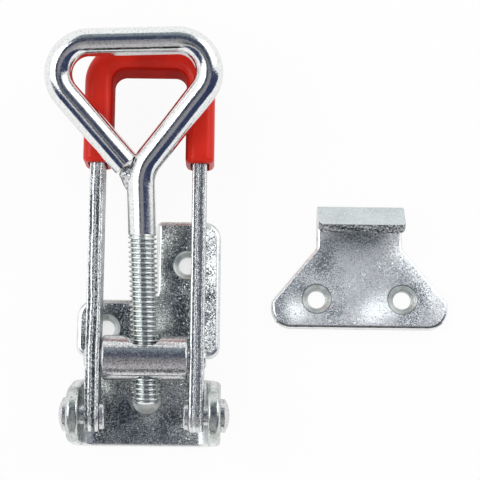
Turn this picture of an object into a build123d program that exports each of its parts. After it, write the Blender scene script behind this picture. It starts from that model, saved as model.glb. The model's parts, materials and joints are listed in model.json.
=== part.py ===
# Over-centre toggle latch with a screw-adjusted loop, a red dipped handle grip
# and a separate hooked keeper plate.  All sizes are in millimetres, +Z points
# away from the mounting surface and +Y runs along the closed handle.
# The origin lies on the mounting surface, under the middle of the handle pivot.
from build123d import *
import math
import os

os.makedirs("parts", exist_ok=True)

# ---------------------------------------------------------------- sheet metal
sheet = 2.5                  # thickness of the base plate and of the keeper
edge_round = 1.1             # rolled upper rim of the base plate
screw_hole = 3.8             # screw hole, diameter
screw_sink = 6.5             # countersink at the surface, diameter
sink_angle = 90

# ------------------------------------------------------------------ base plate
wing_reach = 4.6             # each wing stands out past the floor by this
wing_front = 12.8            # Y where the wings start
wing_rear = 25.2             # Y where the left wing ends
wing_front_round = 2.5
wing_rear_round = 4.0
tab_left = 1.5               # X of the inner edge of the rear tab
tab_rear = 42.3              # Y where the rear tab ends
tab_outer_round = 3.8
tab_inner_round = 1.3
step_round = 2.5             # hollow corner between left wing and tab
base_front = -6.0            # Y of the front edge
base_screws = [(8.2, 32.8), (-9.1, 18.9), (0.0, 3.8)]

# ------------------------------------------------------------------------ ears
ear_gap = 1.0                # between an arm of the handle and its ear
ear_bend = 2.5               # inside radius of the fold
ear_rear = 8.5               # Y where the foot of an ear ends
ear_tip = 5.7                # radius of the tip of an ear
ear_rise = 0.6               # middle of that radius above the pivot
ear_outer_round = 0.9        # rolled rim on the outside of the folded sheet
ear_inner_round = 0.5        # and on its inside
notch_round = 1.0            # inner end of the relief notch behind each ear

# ----------------------------------------------------------------------- pivot
pivot_height = 12.3          # pivot line above the mounting surface
pivot_pin = 4.0              # rivet shank, diameter
pin_play = 0.05              # running clearance on the radius of a moving pin
pin_seat = 0.02              # clearance of the rivet shank in the ear
rivet_head = 6.9             # formed head outside the ear, diameter
rivet_head_rise = 1.85
rivet_rim = 0.9              # straight rim under the dome
rivet_foot = 6.0             # flat head inside the arm, diameter
rivet_foot_rise = 1.05
rivet_foot_bevel = 0.3
foot_play = 0.1              # end play between the flat head and the arm

# ------------------------------------------------------------------ handle bar
arm_height = 7.0             # height of the strip the handle is bent from
arm_thick = 3.0              # thickness of that strip
handle_width = 24.4          # over the outer faces of the arms
handle_end = 76.7            # Y of the outer face of the cross piece
handle_bend = 4.1            # inside radius of the two bends
arm_edge_round = 0.45

# ----------------------------------------------------------------- handle grip
grip_wall = 1.5              # thickness of the dipped coating
grip_start = 52.2            # Y of the two open ends
grip_round = 2.0             # rounding of the long edges
grip_lip_round = 1.1         # rounding of the open ends
grip_bend = 2.6              # inside corner radius of the coating
grip_outer_bend = 8.6
grip_seat = 0.02             # clearance between coating and strip
mouth_play = 0.45            # the open end stands off the strip by this
mouth_depth = 1.3
mouth_round = 1.0

# ---------------------------------------------------------------------- barrel
barrel_reach = 11.75         # from the pivot line to the barrel axis
barrel_dia = 9.3
barrel_play = 0.45           # between each end of the barrel and its arm
barrel_bevel = 0.3
stub_dia = 4.0               # the two stubs that turn in the arms
stub_proud = 0.4             # how far a stub stands out of its arm
stub_bevel = 0.3
cup_floor = 1.5              # flared cup of the cross hole starts here, past the axis
cup_rim = 0.25               # what the cup leaves of the barrel at its sides
cup_flare = 15               # slope of its wall, degrees

# ------------------------------------------------------------------- loop bolt
thread_dia = 5.95            # over the crests of the M6 thread
thread_play = 0.05           # clearance on the radius in the barrel
wire_dia = 5.8               # plain rod the loop is bent from
loop_rise = 10.2             # slope of the loop over the handle, degrees
loop_lean = 2.1              # lean to the left, degrees
thread_tail = 9.4            # threaded end behind the barrel axis
thread_front = 25.9          # where the thread stops, in front of the axis
tail_bevel = 0.8
loop_offset = -0.9           # middle of the triangle, sideways of the stem
crotch = 37.7                # where the centre lines of the two legs meet
loop_bar = 65.4              # centre line of the far bar
leg_angle = 39.5             # half angle between the legs, degrees
stem_bend = 8.0              # centre line radius where stem turns into leg
loop_corner = 6.5            # centre line radius of the two far corners
cut_end = 40.1               # where the free leg stops, along the stem
weld_place = (-2.3, 37.7)    # middle of the weld bead in the crotch
weld_radius = 2.3

# ---------------------------------------------------------------- keeper plate
keeper_middle = 45.2         # X of its centre line
keeper_front = 19.5          # Y of its long straight edge
keeper_width = 37.9
keeper_corner = 4.3
keeper_round = 0.8           # rolled upper rim
shoulder_start = 5.7         # straight side above the long edge
neck_start = 17.5            # where the sloped sides meet the neck
neck_width = 18.5
shoulder_round = 1.5
keeper_screws = 18.4         # spacing of the two holes
screw_setback = 6.3          # holes above the long edge
hook_bend = 1.3              # inside radius of the hook
hook_centre = 22.3           # centre of the bend, above the long edge
hook_lean = 45               # the lip leans back over the plate, degrees
lip_length = 5.4
lip_corner = 1.3

# ------------------------------------------------------------- derived values
arm_outer = handle_width / 2
arm_inner = arm_outer - arm_thick
ear_inner = arm_outer + ear_gap
ear_outer = ear_inner + sheet
bend_outer = ear_bend + sheet
floor_half = ear_outer - bend_outer
base_half = floor_half + wing_reach
blank_front = (base_front + ear_rear) / 2
wing_corner = min(wing_front_round, 0.98 * (wing_reach - notch_round))
arm_floor = pivot_height - arm_height / 2
arm_top = pivot_height + arm_height / 2
pivot_line = Axis((0, 0, pivot_height), (1, 0, 0))
barrel_middle = Vector(0, barrel_reach, pivot_height)
barrel_line = Axis(barrel_middle, (1, 0, 0))

rise = math.radians(loop_rise)
lean = math.radians(loop_lean)
uphill = Vector(0, math.cos(rise), math.sin(rise))
across = Vector(1, 0, 0)
stem_way = uphill * math.cos(lean) - across * math.sin(lean)
side_way = uphill * math.sin(lean) + across * math.cos(lean)
loop_plane = Plane(origin=barrel_middle, x_dir=side_way, z_dir=side_way.cross(stem_way))
stem_plane = Plane(origin=barrel_middle, x_dir=side_way, z_dir=stem_way)


# ============================================================== base plate
# The flat rear of the blank: a floor behind the ears, two wings and the tab.
with BuildPart() as blank:
    with BuildSketch(Plane.XY) as outline:
        with BuildLine():
            Polyline(
                (-floor_half, blank_front),
                (floor_half, blank_front),
                (floor_half, wing_front),
                (base_half, wing_front),
                (base_half, tab_rear),
                (tab_left, tab_rear),
                (tab_left, wing_rear),
                (-base_half, wing_rear),
                (-base_half, wing_front),
                (-floor_half, wing_front),
                close=True,
            )
        make_face()
        rounds = [
            (floor_half, wing_front, notch_round),
            (-floor_half, wing_front, notch_round),
            (base_half, wing_front, wing_corner),
            (-base_half, wing_front, wing_corner),
            (base_half, tab_rear, tab_outer_round),
            (tab_left, tab_rear, tab_inner_round),
            (tab_left, wing_rear, step_round),
            (-base_half, wing_rear, wing_rear_round),
        ]
        for x, y, radius in rounds:
            fillet(outline.vertices().sort_by_distance((x, y, 0))[0], radius)
    extrude(amount=sheet)
    fillet(blank.faces().sort_by(Axis.Z)[-1].edges(), edge_round)

# The folded channel that gives the two ears, cut to the side view of an ear.
# Its two rims run right round the fold, so one rolled edge follows each of them.
with BuildPart() as channel:
    with BuildSketch(Plane.XZ.offset(-ear_rear)) as section:
        with Locations((0, pivot_height)):
            Rectangle(2 * ear_outer, 2 * pivot_height)
        fillet(section.vertices().group_by(Axis.Y)[0], bend_outer)
        with BuildSketch(mode=Mode.PRIVATE) as hollow:
            with Locations((0, sheet + pivot_height)):
                Rectangle(2 * ear_inner, 2 * pivot_height)
            fillet(hollow.vertices().group_by(Axis.Y)[0], ear_bend)
        add(hollow.sketch, mode=Mode.SUBTRACT)
    extrude(amount=ear_rear - base_front)
    with BuildSketch(mode=Mode.PRIVATE) as tip_and_foot:
        with Locations((0, pivot_height + ear_rise)):
            Circle(ear_tip)
        with BuildLine():
            foot = Line((base_front, 0), (ear_rear, 0))
    with BuildSketch(Plane.YZ):
        make_hull([*tip_and_foot.edges(), foot])
    extrude(amount=2 * ear_outer, both=True, mode=Mode.INTERSECT)
    for face_place, rim_round in ((ear_outer, ear_outer_round), (ear_inner, ear_inner_round)):
        ear_faces = channel.faces().filter_by(Axis.X)
        skin = ear_faces.filter_by(lambda face: abs(abs(face.center().X) - face_place) < 1e-3)
        fillet(skin.edges().filter_by(Axis.Y, reverse=True), rim_round)

with BuildPart() as base_plate:
    add(blank.part)
    add(channel.part)
    with Locations([(x, y, sheet) for x, y in base_screws]):
        CounterSinkHole(screw_hole / 2, screw_sink / 2, counter_sink_angle=sink_angle)
    with Locations(Location((0, 0, pivot_height), (0, 90, 0))):
        Cylinder(pivot_pin / 2 + pin_seat, 4 * ear_outer, mode=Mode.SUBTRACT)


# ========================================================= handle bar and grip
# The handle is a U of strip standing on edge; its arm ends are rounded about
# the pivot.  grow makes the same U thicker all round, for the coating.
def handle_outline(grow, inner_round, outer_round, start):
    """Plan of the U, thickened by grow, from Y = start to the cross piece."""
    end = handle_end + grow
    outer = arm_outer + grow
    inner = arm_inner - grow
    with BuildSketch(mode=Mode.PRIVATE) as plan:
        with Locations((0, (start + end) / 2)):
            Rectangle(2 * outer, end - start)
        fillet(plan.vertices().group_by(Axis.Y)[-1], outer_round)
        with BuildSketch(mode=Mode.PRIVATE) as gap:
            gap_end = end - arm_thick - 2 * grow
            with Locations((0, (start + gap_end) / 2)):
                Rectangle(2 * inner, gap_end - start)
            fillet(gap.vertices().group_by(Axis.Y)[-1], inner_round)
        add(gap.sketch, mode=Mode.SUBTRACT)
    return plan.sketch


with BuildPart() as handle_bar:
    with BuildSketch(Plane.XY.offset(arm_floor)):
        add(handle_outline(0, handle_bend, handle_bend + arm_thick, -arm_height))
    extrude(amount=arm_height)
    with BuildSketch(Plane.YZ):
        with Locations((0, pivot_height)):
            Circle(arm_height / 2)
        with Locations((handle_end / 2, pivot_height)):
            Rectangle(handle_end, arm_height)
    extrude(amount=handle_width, both=True, mode=Mode.INTERSECT)
    side_faces = handle_bar.faces().filter_by(Axis.Z)
    fillet(side_faces.edges(), arm_edge_round)
    for y, diameter in ((0, pivot_pin), (barrel_reach, stub_dia)):
        with Locations(Location((0, y, pivot_height), (0, 90, 0))):
            Cylinder(diameter / 2 + pin_play, 2 * handle_width, mode=Mode.SUBTRACT)

with BuildPart() as handle_grip:
    with BuildSketch(Plane.XY.offset(arm_floor - grip_wall)):
        add(handle_outline(grip_wall, grip_bend, grip_outer_bend, grip_start))
    extrude(amount=arm_height + 2 * grip_wall)
    ends = handle_grip.faces().filter_by(Axis.Y).sort_by(Axis.Y)[:2]
    flats = handle_grip.faces().filter_by(Axis.Z)
    end_edges = ends.edges()
    long_edges = flats.edges().filter_by(lambda edge: edge not in end_edges)
    fillet(long_edges, grip_round)
    ends = handle_grip.faces().filter_by(Axis.Y).sort_by(Axis.Y)[:2]
    fillet(ends.edges(), grip_lip_round)
    with BuildSketch(Plane.XY.offset(arm_floor - grip_seat)):
        add(handle_outline(grip_seat, handle_bend, handle_bend + arm_thick, 0))
    extrude(amount=arm_height + 2 * grip_seat, mode=Mode.SUBTRACT)
    with BuildSketch(Plane.XZ.offset(-grip_start - mouth_depth)):
        for side in (-1, 1):
            with Locations((side * (arm_outer + arm_inner) / 2, pivot_height)):
                mouth_width = arm_thick + 2 * mouth_play
                RectangleRounded(mouth_width, arm_height + 2 * mouth_play, mouth_round)
    extrude(amount=2 * mouth_depth, mode=Mode.SUBTRACT)


# =============================================================== pivot rivets
# Each rivet is turned about the pivot line: a flat head inside the arm, the
# shank through arm and ear, and a domed head formed against the ear.
def turned_rivet(side):
    foot_out = arm_inner - foot_play
    foot_in = foot_out - rivet_foot_rise
    dome_start = ear_outer + rivet_rim
    dome_top = ear_outer + rivet_head_rise
    dome_rise = rivet_head_rise - rivet_rim
    dome_radius = ((rivet_head / 2) ** 2 + dome_rise**2) / (2 * dome_rise)
    dome_half = math.asin(rivet_head / 2 / dome_radius) / 2
    dome_middle = (
        dome_top - dome_radius * (1 - math.cos(dome_half)),
        dome_radius * math.sin(dome_half),
    )
    profile = Plane(origin=(0, 0, pivot_height), x_dir=(side, 0, 0), z_dir=(0, -side, 0))
    with BuildPart() as rivet:
        with BuildSketch(profile):
            with BuildLine():
                Polyline(
                    (foot_in, 0),
                    (foot_in, rivet_foot / 2 - rivet_foot_bevel),
                    (foot_in + rivet_foot_bevel, rivet_foot / 2),
                    (foot_out, rivet_foot / 2),
                    (foot_out, pivot_pin / 2),
                    (ear_outer, pivot_pin / 2),
                    (ear_outer, rivet_head / 2),
                    (dome_start, rivet_head / 2),
                )
                ThreePointArc((dome_start, rivet_head / 2), dome_middle, (dome_top, 0))
                Line((dome_top, 0), (foot_in, 0))
            make_face()
        revolve(axis=pivot_line)
    return rivet.part


rivet_left = turned_rivet(-1)
rivet_right = turned_rivet(1)


# ===================================================================== barrel
with BuildPart() as barrel:
    with BuildSketch(Plane(origin=barrel_middle, x_dir=(1, 0, 0), z_dir=(0, -1, 0))):
        with BuildLine():
            stub_end = arm_outer + stub_proud
            body_end = arm_inner - barrel_play
            Polyline(
                (-stub_end, 0),
                (-stub_end, stub_dia / 2 - stub_bevel),
                (-stub_end + stub_bevel, stub_dia / 2),
                (-body_end, stub_dia / 2),
                (-body_end, barrel_dia / 2 - barrel_bevel),
                (-body_end + barrel_bevel, barrel_dia / 2),
                (body_end - barrel_bevel, barrel_dia / 2),
                (body_end, barrel_dia / 2 - barrel_bevel),
                (body_end, stub_dia / 2),
                (stub_end - stub_bevel, stub_dia / 2),
                (stub_end, stub_dia / 2 - stub_bevel),
                (stub_end, 0),
                close=True,
            )
        make_face()
    revolve(axis=barrel_line)
    hole = thread_dia / 2 + thread_play
    with BuildSketch(stem_plane):
        Circle(hole)
    extrude(amount=barrel_dia, both=True, mode=Mode.SUBTRACT)
    # on the loop's side the hole opens out into a flared cup
    cup_height = barrel_dia / 2 - cup_floor
    cup_radius = barrel_dia / 2 - cup_rim - cup_height * math.tan(math.radians(cup_flare))
    with BuildSketch(stem_plane.offset(cup_floor)):
        Circle(cup_radius)
    extrude(amount=barrel_dia / 2, taper=-cup_flare, mode=Mode.SUBTRACT)


# ================================================================== loop bolt
# One rod: the threaded stem turns into the right leg, runs round the far bar
# and comes back as the left leg, whose cut end is welded to the stem.
half_span = (loop_bar - crotch) * math.tan(math.radians(leg_angle))
stem_turn = crotch - loop_offset / math.tan(math.radians(leg_angle))
cut_side = loop_offset - (cut_end - crotch) * math.tan(math.radians(leg_angle))

with BuildPart() as loop_bolt:
    with BuildLine(loop_plane) as right_run:
        FilletPolyline(
            [
                (0, thread_front - 1),
                (0, stem_turn),
                (loop_offset + half_span, loop_bar),
                (loop_offset, loop_bar),
            ],
            radius=[stem_bend, loop_corner],
        )
    with BuildSketch(stem_plane.offset(thread_front - 1)):
        Circle(wire_dia / 2)
    sweep(path=right_run.wires()[0])
    with BuildLine(loop_plane) as left_run:
        FilletPolyline(
            [(loop_offset, loop_bar), (loop_offset - half_span, loop_bar), (cut_side, cut_end)],
            radius=[loop_corner],
        )
    bar_middle = loop_plane.origin + side_way * loop_offset + stem_way * loop_bar
    with BuildSketch(Plane(origin=bar_middle, z_dir=side_way * -1)):
        Circle(wire_dia / 2)
    sweep(path=left_run.wires()[0])
    with BuildSketch(stem_plane.offset(-thread_tail)):
        Circle(thread_dia / 2)
    extrude(amount=thread_tail + thread_front)
    tail_face = loop_bolt.faces().sort_by_distance(loop_plane.origin - stem_way * thread_tail)[0]
    chamfer(tail_face.edges(), tail_bevel)
    weld_middle = loop_plane.origin + side_way * weld_place[0] + stem_way * weld_place[1]
    with Locations(Plane(origin=weld_middle, x_dir=stem_way, z_dir=loop_plane.z_dir)):
        Sphere(weld_radius)


# =============================================================== keeper plate
# Side view of the plate with its hook, drawn once and run across the width,
# then cut to the outline seen from above.
with BuildPart() as keeper_plate:
    back = math.radians(hook_lean)
    centre_y = keeper_front + hook_centre
    centre_z = sheet + hook_bend
    reach = hook_bend + sheet
    lip_y = -math.cos(back) * lip_length
    lip_z = math.sin(back) * lip_length
    inner_start = (centre_y + hook_bend * math.sin(back), centre_z + hook_bend * math.cos(back))
    outer_start = (centre_y + reach * math.sin(back), centre_z + reach * math.cos(back))
    with BuildSketch(Plane.YZ.offset(keeper_middle - keeper_width / 2)):
        with BuildLine():
            Line((keeper_front, 0), (centre_y, 0))
            ThreePointArc((centre_y, 0), (centre_y + reach, centre_z), outer_start)
            lip_outer = (outer_start[0] + lip_y, outer_start[1] + lip_z)
            lip_inner = (inner_start[0] + lip_y, inner_start[1] + lip_z)
            Polyline(outer_start, lip_outer, lip_inner, inner_start)
            ThreePointArc(inner_start, (centre_y + hook_bend, centre_z), (centre_y, sheet))
            Polyline((centre_y, sheet), (keeper_front, sheet), (keeper_front, 0))
        make_face()
    extrude(amount=keeper_width)
    with BuildSketch(Plane.XY) as plan:
        with BuildLine():
            left = keeper_middle - keeper_width / 2
            right = keeper_middle + keeper_width / 2
            shoulder = keeper_front + shoulder_start
            neck = keeper_front + neck_start
            far = centre_y + 2 * reach
            Polyline(
                (left, keeper_front),
                (right, keeper_front),
                (right, shoulder),
                (keeper_middle + neck_width / 2, neck),
                (keeper_middle + neck_width / 2, far),
                (keeper_middle - neck_width / 2, far),
                (keeper_middle - neck_width / 2, neck),
                (left, shoulder),
                close=True,
            )
        make_face()
        for x in (left, right):
            fillet(plan.vertices().sort_by_distance((x, keeper_front, 0))[0], keeper_corner)
            fillet(plan.vertices().sort_by_distance((x, shoulder, 0))[0], shoulder_round)
        for side in (-1, 1):
            bend_point = (keeper_middle + side * neck_width / 2, neck, 0)
            fillet(plan.vertices().sort_by_distance(bend_point)[0], shoulder_round)
    extrude(amount=4 * reach, mode=Mode.INTERSECT)
    lip_edges = keeper_plate.edges().filter_by(lambda edge: abs(edge.length - sheet) < 1e-3)
    fillet(lip_edges.group_by(Axis.Z)[-1], lip_corner)
    plate_top = keeper_plate.faces().sort_by_distance((keeper_middle, neck, sheet))[0]
    fillet(plate_top.edges().sort_by(Axis.Y)[0], keeper_round)
    screw_row = keeper_front + screw_setback
    screw_spots = [(keeper_middle + side * keeper_screws / 2, screw_row, sheet) for side in (-1, 1)]
    with Locations(screw_spots):
        CounterSinkHole(screw_hole / 2, screw_sink / 2, counter_sink_angle=sink_angle)


pieces = {
    "base_plate": base_plate.part,
    "handle_bar": handle_bar.part,
    "handle_grip": handle_grip.part,
    "pivot_rivet_left": rivet_left,
    "pivot_rivet_right": rivet_right,
    "barrel": barrel.part,
    "loop_bolt": loop_bolt.part,
    "keeper_plate": keeper_plate.part,
}
for name, piece in pieces.items():
    piece.label = name
    export_step(piece, f"parts/{name}.step")
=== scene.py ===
import json
import math

import bmesh
import bpy
import numpy as np
from mathutils import Matrix, Vector


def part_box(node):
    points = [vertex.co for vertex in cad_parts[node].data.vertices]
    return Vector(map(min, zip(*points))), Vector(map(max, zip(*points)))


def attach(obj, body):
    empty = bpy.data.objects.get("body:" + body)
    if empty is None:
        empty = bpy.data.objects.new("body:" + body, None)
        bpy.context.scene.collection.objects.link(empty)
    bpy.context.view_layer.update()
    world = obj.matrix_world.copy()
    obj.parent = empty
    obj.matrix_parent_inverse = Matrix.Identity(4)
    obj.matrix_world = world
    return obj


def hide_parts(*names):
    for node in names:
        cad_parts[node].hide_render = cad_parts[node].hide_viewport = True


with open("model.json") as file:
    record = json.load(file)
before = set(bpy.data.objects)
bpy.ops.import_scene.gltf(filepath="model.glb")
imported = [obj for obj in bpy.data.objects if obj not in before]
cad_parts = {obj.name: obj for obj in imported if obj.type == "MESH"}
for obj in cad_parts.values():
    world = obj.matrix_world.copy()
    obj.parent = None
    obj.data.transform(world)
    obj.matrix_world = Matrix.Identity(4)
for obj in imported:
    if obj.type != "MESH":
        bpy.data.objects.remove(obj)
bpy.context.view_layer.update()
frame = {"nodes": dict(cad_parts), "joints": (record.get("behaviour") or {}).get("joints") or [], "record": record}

mm = 0.001                      # every size below is written in millimetres
print("frame loaded:", len(frame["nodes"]), "nodes")


# mesh helpers
def putMesh(name, points, faces, smooth=True):
    # points (n, 3) in millimetres, faces as index rows; makes one object at the origin
    mesh = bpy.data.meshes.new(name)
    mesh.from_pydata((points * mm).tolist(), [], faces)
    mesh.validate()
    mesh.polygons.foreach_set("use_smooth", np.full(len(mesh.polygons), smooth))
    piece = bpy.data.objects.new(name, mesh)
    bpy.context.scene.collection.objects.link(piece)
    return piece


def tubeMesh(name, grid):
    # grid (rows, columns, 3): row i and column j make the quad i..i+1, j..j+1, the last
    # column joins the first, and a fan round the mean point closes each end row
    rows, columns = grid.shape[:2]
    a, b = np.meshgrid(np.arange(rows - 1), np.arange(columns), indexing="ij")
    a2, b2 = a + 1, (b + 1) % columns
    quads = np.stack([a * columns + b, a2 * columns + b, a2 * columns + b2, a * columns + b2], axis=-1)
    first = np.arange(columns)
    spin = np.roll(first, -1)
    last = (rows - 1) * columns
    middle = np.full(columns, rows * columns)
    fans = [np.stack([middle, first, spin], axis=1), np.stack([middle + 1, last + spin, last + first], axis=1)]
    points = np.concatenate([grid.reshape(-1, 3), [grid[0].mean(axis=0), grid[-1].mean(axis=0)]])
    faces = quads.reshape(-1, 4).tolist() + np.concatenate(fans).tolist()
    piece = putMesh(name, points, faces)
    shell = bmesh.new()
    shell.from_mesh(piece.data)
    bmesh.ops.recalc_face_normals(shell, faces=shell.faces)
    shell.to_mesh(piece.data)
    shell.free()
    return piece


cleaning = {"join": 2e-6, "flat": 0.4, "bevelSteps": 2}       # metres, degrees, segments


def dressedCopy(node, name, look):
    # the CAD node's own shape with its loose triangles joined, round faces shaded
    # smooth and the edges sharper than look's degrees broken by its bevel in millimetres
    mesh = frame["nodes"][node].data.copy()
    shell = bmesh.new()
    shell.from_mesh(mesh)
    bmesh.ops.remove_doubles(shell, verts=shell.verts, dist=cleaning["join"])
    bmesh.ops.dissolve_degenerate(shell, edges=shell.edges, dist=cleaning["join"])
    bmesh.ops.dissolve_limit(shell, angle_limit=math.radians(cleaning["flat"]), verts=shell.verts, edges=shell.edges)
    shell.to_mesh(mesh)
    shell.free()
    mesh.materials.clear()
    piece = bpy.data.objects.new(name, mesh)
    bpy.context.scene.collection.objects.link(piece)
    mesh.polygons.foreach_set("use_smooth", np.full(len(mesh.polygons), True))
    mesh.set_sharp_from_angle(angle=math.radians(look["sharp"]))
    if look["bevel"]:
        edge = piece.modifiers.new("brokenEdges", "BEVEL")
        edge.width = look["bevel"] * mm
        edge.segments = cleaning["bevelSteps"]
        edge.limit_method = "ANGLE"
        edge.angle_limit = math.radians(look["sharp"])
        edge.harden_normals = True
    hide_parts(node)
    return piece


def settle(piece, body, slot, *materials):
    # the finishes and the body it moves with; slot is not used
    for material in materials:
        piece.data.materials.append(material)
    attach(piece, body)


def faceData(piece):
    # middle points in millimetres and unit normals of a piece's faces, (n, 3) each
    count = len(piece.data.polygons)
    found = []
    for wanted, unit in (("center", mm), ("normal", 1)):
        values = np.empty(count * 3, np.float32)
        piece.data.polygons.foreach_get(wanted, values)
        found.append(values.reshape(-1, 3) / unit)
    return found


def paintFaces(piece, kind):
    # kind holds, for each face, which of the piece's finishes it has
    piece.data.polygons.foreach_set("material_index", kind.astype(np.int32))


# material helpers
def newMaterial(name, values):
    material = bpy.data.materials.new(name)
    material.use_nodes = True
    tree = material.node_tree
    shader = tree.nodes["Principled BSDF"]
    for socket, value in values.items():
        shader.inputs[socket].default_value = value
    place = tree.nodes.new("ShaderNodeTexCoord")
    return material, tree, shader, place.outputs["Object"]


def addNode(tree, kind, values=None, links=None, **settings):
    node = tree.nodes.new(kind)
    for key, value in settings.items():
        setattr(node, key, value)
    for socket, value in (values or {}).items():
        node.inputs[socket].default_value = value
    plug(tree, node, links or {})
    return node


def plug(tree, node, links):
    for socket, source in links.items():
        tree.links.new(source, node.inputs[socket])


def mathNode(tree, operation, *sources):
    # each source is a number or a socket
    node = addNode(tree, "ShaderNodeMath", operation=operation)
    for index, source in enumerate(sources):
        if isinstance(source, (int, float)):
            node.inputs[index].default_value = source
        else:
            tree.links.new(source, node.inputs[index])
    return node.outputs[0]


def vectorMath(tree, operation, *sources, scale=None):
    # each source is a tuple or a socket, and scale a number or a socket
    node = addNode(tree, "ShaderNodeVectorMath", operation=operation)
    for index, source in enumerate(sources):
        if isinstance(source, tuple):
            node.inputs[index].default_value = source
        else:
            tree.links.new(source, node.inputs[index])
    if isinstance(scale, float):
        node.inputs["Scale"].default_value = scale
    elif scale is not None:
        tree.links.new(scale, node.inputs["Scale"])
    return node.outputs["Value" if operation == "DISTANCE" else "Vector"]


def splitVector(tree, vector):
    return addNode(tree, "ShaderNodeSeparateXYZ", None, {0: vector}).outputs


def flattened(tree, place):
    # a place with its height taken away, to measure from upright lines
    return vectorMath(tree, "MULTIPLY", place, (1, 1, 0))


def fromLine(tree, level, x, y):
    # distance in metres from the upright line at x, y
    return vectorMath(tree, "DISTANCE", level, (x * mm, y * mm, 0))


def stretched(tree, place, perMm, turn=(0, 0, 0)):
    # object coordinates turned, then scaled so that 1 is one pattern repeat; perMm is
    # the number of repeats per millimetre, one for all axes or one for each
    scale = (np.broadcast_to(perMm, 3) / mm).tolist()
    return addNode(tree, "ShaderNodeMapping", {"Rotation": turn, "Scale": scale}, {"Vector": place}).outputs["Vector"]


noiseRange = (0.3, 0.7)         # most of a noise's values lie between these


def noise(tree, place, perMm, detail, rough, lean=0.0, turn=(0, 0, 0)):
    settings = {"Scale": 1.0, "Detail": detail, "Roughness": rough, "Distortion": lean}
    links = {"Vector": stretched(tree, place, perMm, turn)}
    return addNode(tree, "ShaderNodeTexNoise", settings, links).outputs["Fac"]


def remap(tree, value, low, high, toLow=0.0, toHigh=1.0, smooth=False):
    # low becomes toLow and high becomes toHigh; values past either end are held there
    ends = {"From Min": low, "From Max": high, "To Min": toLow, "To Max": toHigh}
    kind = "SMOOTHSTEP" if smooth else "LINEAR"
    return addNode(tree, "ShaderNodeMapRange", ends, {"Value": value}, interpolation_type=kind).outputs["Result"]


def blendColours(tree, factor, a, b):
    # inputs 6 and 7 of the mix node are its two colours, output 2 the blended one
    node = addNode(tree, "ShaderNodeMix", None, {"Factor": factor}, data_type="RGBA")
    for socket, source in ((6, a), (7, b)):
        if isinstance(source, tuple):
            node.inputs[socket].default_value = (*source, 1)
        else:
            tree.links.new(source, node.inputs[socket])
    return node.outputs[2]


def threeTones(tree, value, look):
    # deep at 0, dull at the middle, pale at 1
    node = addNode(tree, "ShaderNodeValToRGB", None, {"Fac": value})
    stops = node.color_ramp.elements
    stops[0].color = (*look["deep"], 1)
    stops[1].color = (*look["pale"], 1)
    stops.new(look["middle"]).color = (*look["dull"], 1)
    return node.outputs["Color"]


def surfaceNormal(tree):
    return tree.nodes.new("ShaderNodeNewGeometry").outputs["Normal"]


grainTurn = (0.3, 0.2, 0.5)     # radians; no row of cells then lies along an axis


def grainCells(tree, place, perMm):
    vector = stretched(tree, place, perMm, grainTurn)
    return addNode(tree, "ShaderNodeTexVoronoi", {"Scale": 1.0, "Randomness": 1.0}, {"Vector": vector})


def grainTilt(tree, cells, lean, normal=None):
    # each crystal grain of the plating leans its own way: the cell colour of the
    # Voronoi pattern, less its mean, is added to the surface normal
    shift = vectorMath(tree, "SUBTRACT", cells.outputs["Color"], (0.5, 0.5, 0.5))
    size = vectorMath(tree, "SCALE", shift, scale=lean)
    if normal is None:
        normal = surfaceNormal(tree)
    return vectorMath(tree, "NORMALIZE", vectorMath(tree, "ADD", normal, size))


def relief(tree, height, distance, strength, normal=None):
    # distance in millimetres for a height of 1
    node = addNode(tree, "ShaderNodeBump", {"Strength": strength, "Distance": distance * mm}, {"Height": height})
    if normal is not None:
        tree.links.new(normal, node.inputs["Normal"])
    return node.outputs["Normal"]


print("helpers ready")

# finishes; in every dictionary:
# - deep, dull, pale and the like are colours, and middle is where dull lies between the two
# - a pattern such as pits is its repeats per millimetre, detail, roughness, distortion and turn
# - a tone or share of a pattern is two of its values, and what they become, which is 0 and 1
#   where no more is said; a share of one number is a plain factor
# - rough is a roughness or its two ends, bump a relief's height in millimetres and its strength
# - grain is in cells per millimetre, and a lean is how far the normal is pushed over
screwHoles = {"reach": 3.45, "sheet": 2.5}       # widest reach of a countersink, and the sheet's top

platedSheet = {
    "grain": 4.4, "fine": (4.4, 1.0, 0.6), "patches": (0.13, 3.0, 0.5, 0.3), "waves": (0.09, 0.0, 0.5),
    "grainLean": 0.12, "glintLean": 1.3,        # how far a common grain and the rare ones lean
    "glintRare": 7.0, "toneRare": 2.6,          # powers: the higher, the fewer grains flash or shine
    "cloudTone": (0.35, 0.65, 0.25, 0.80), "speckTone": (0.36, 0.62, 0.0, 1.3),
    "leanFade": 1.5,                            # a lean is gone at this many times its reach
    "rough": (0.24, 0.36), "bump": (0.8, 1.0), "middle": 0.45,
    "deep": (0.06, 0.071, 0.071), "dull": (0.26, 0.288, 0.285), "pale": (0.98, 1.0, 1.0),
}
stripFace = platedSheet | {"rough": (0.30, 0.42)}
keeperSheet = platedSheet | {
    "rough": (0.44, 0.54), "bump": (0.4, 1.0), "glintLean": 0.9,
    "deep": (0.26, 0.29, 0.32), "dull": (0.90, 0.95, 0.97), "pale": (1.0, 1.0, 1.0),
}
hookTop = keeperSheet | {
    "glintLean": 0.1, "deep": (0.54, 0.59, 0.60), "dull": (0.66, 0.72, 0.73), "pale": (0.76, 0.81, 0.82),
}
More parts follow.
